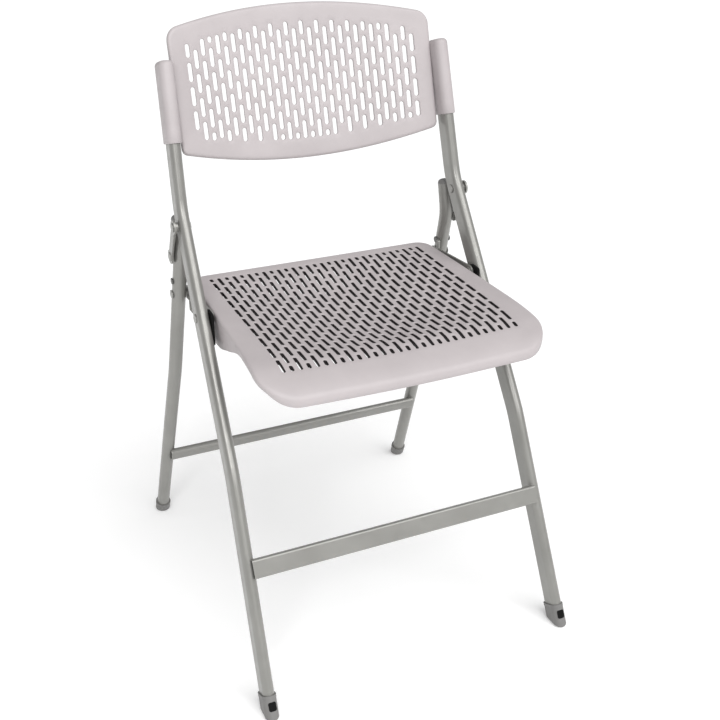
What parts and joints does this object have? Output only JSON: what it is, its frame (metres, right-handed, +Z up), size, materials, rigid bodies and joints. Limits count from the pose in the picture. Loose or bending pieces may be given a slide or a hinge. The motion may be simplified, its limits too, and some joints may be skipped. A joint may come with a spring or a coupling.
{
  "type": "folding chair",
  "caption": "Steel-framed folding chair with a perforated plastic seat and a bowed perforated backrest.",
  "frame": {"origin": "on the floor, under the middle of the open chair's box", "axes": "+Z up, the sitter faces -Y, +X towards the sitter's left-hand side seen from the front"},
  "size_m": [0.4524, 0.5364, 0.8],
  "materials": {
    "frame_paint": "satin light grey powder coat",
    "seat_plastic": "satin warm light grey moulded polypropylene",
    "foot_plastic": "satin mid grey moulded plastic",
    "pad_rubber": "black rubber insert",
    "fastener_steel": "zinc plated rivets and screws"
  },
  "bodies": {
    "front_frame": {"front_stretcher": "frame_paint", "backrest": "seat_plastic", "front_tube_left": "frame_paint", "front_foot_left": "foot_plastic", "front_foot_pad_left": "pad_rubber", "back_screw_left": "fastener_steel", "seat_pivot_pin_left": "frame_paint", "seat_pivot_spacer_left": "pad_rubber", "link_front_rivet_left": "frame_paint", "front_tube_right": "frame_paint", "front_foot_right": "foot_plastic", "front_foot_pad_right": "pad_rubber", "back_screw_right": "fastener_steel", "seat_pivot_pin_right": "frame_paint", "seat_pivot_spacer_right": "pad_rubber", "link_front_rivet_right": "frame_paint"},
    "seat": {"seat": "seat_plastic", "seat_bracket_left": "frame_paint", "seat_screw_front_left": "fastener_steel", "seat_screw_rear_left": "fastener_steel", "seat_bracket_right": "frame_paint", "seat_screw_front_right": "fastener_steel", "seat_screw_rear_right": "fastener_steel"},
    "rear_frame": {"rear_stretcher": "frame_paint", "rear_leg_left": "frame_paint", "rear_leg_cap_left": "foot_plastic", "rear_foot_left": "foot_plastic", "rear_pivot_rivet_left": "frame_paint", "stop_rivet_left": "fastener_steel", "rear_leg_right": "frame_paint", "rear_leg_cap_right": "foot_plastic", "rear_foot_right": "foot_plastic", "rear_pivot_rivet_right": "frame_paint", "stop_rivet_right": "fastener_steel"},
    "link_left": {"hinge_link_left": "frame_paint", "link_rear_rivet_left": "frame_paint"},
    "link_right": {"hinge_link_right": "frame_paint", "link_rear_rivet_right": "frame_paint"}
  },
  "joints": [
    {"name": "seat_fold", "type": "hinge", "parent": "front_frame", "child": "seat", "pos_m": [0, -0.0112, 0.447], "axis": [1, 0, 0], "range_deg": [0, 46.6]},
    {"name": "rear_frame_fold", "type": "hinge", "parent": "seat", "child": "rear_frame", "pos_m": [0, 0.0968, 0.44], "axis": [1, 0, 0], "range_deg": [-96.2, 0]},
    {"name": "link_left_fold", "type": "hinge", "parent": "front_frame", "child": "link_left", "pos_m": [-0.2115, 0.0542, 0.548], "axis": [1, 0, 0], "range_deg": [0, 88.8]},
    {"name": "link_right_fold", "type": "hinge", "parent": "front_frame", "child": "link_right", "pos_m": [0.2115, 0.0542, 0.548], "axis": [1, 0, 0], "range_deg": [0, 88.8]}
  ],
  "couplings": [
    {"joint": "rear_frame_fold", "follows": "seat_fold", "ratio": -2.0622},
    {"joint": "link_left_fold", "follows": "seat_fold", "ratio": 1.9034},
    {"joint": "link_right_fold", "follows": "seat_fold", "ratio": 1.9034}
  ]
}
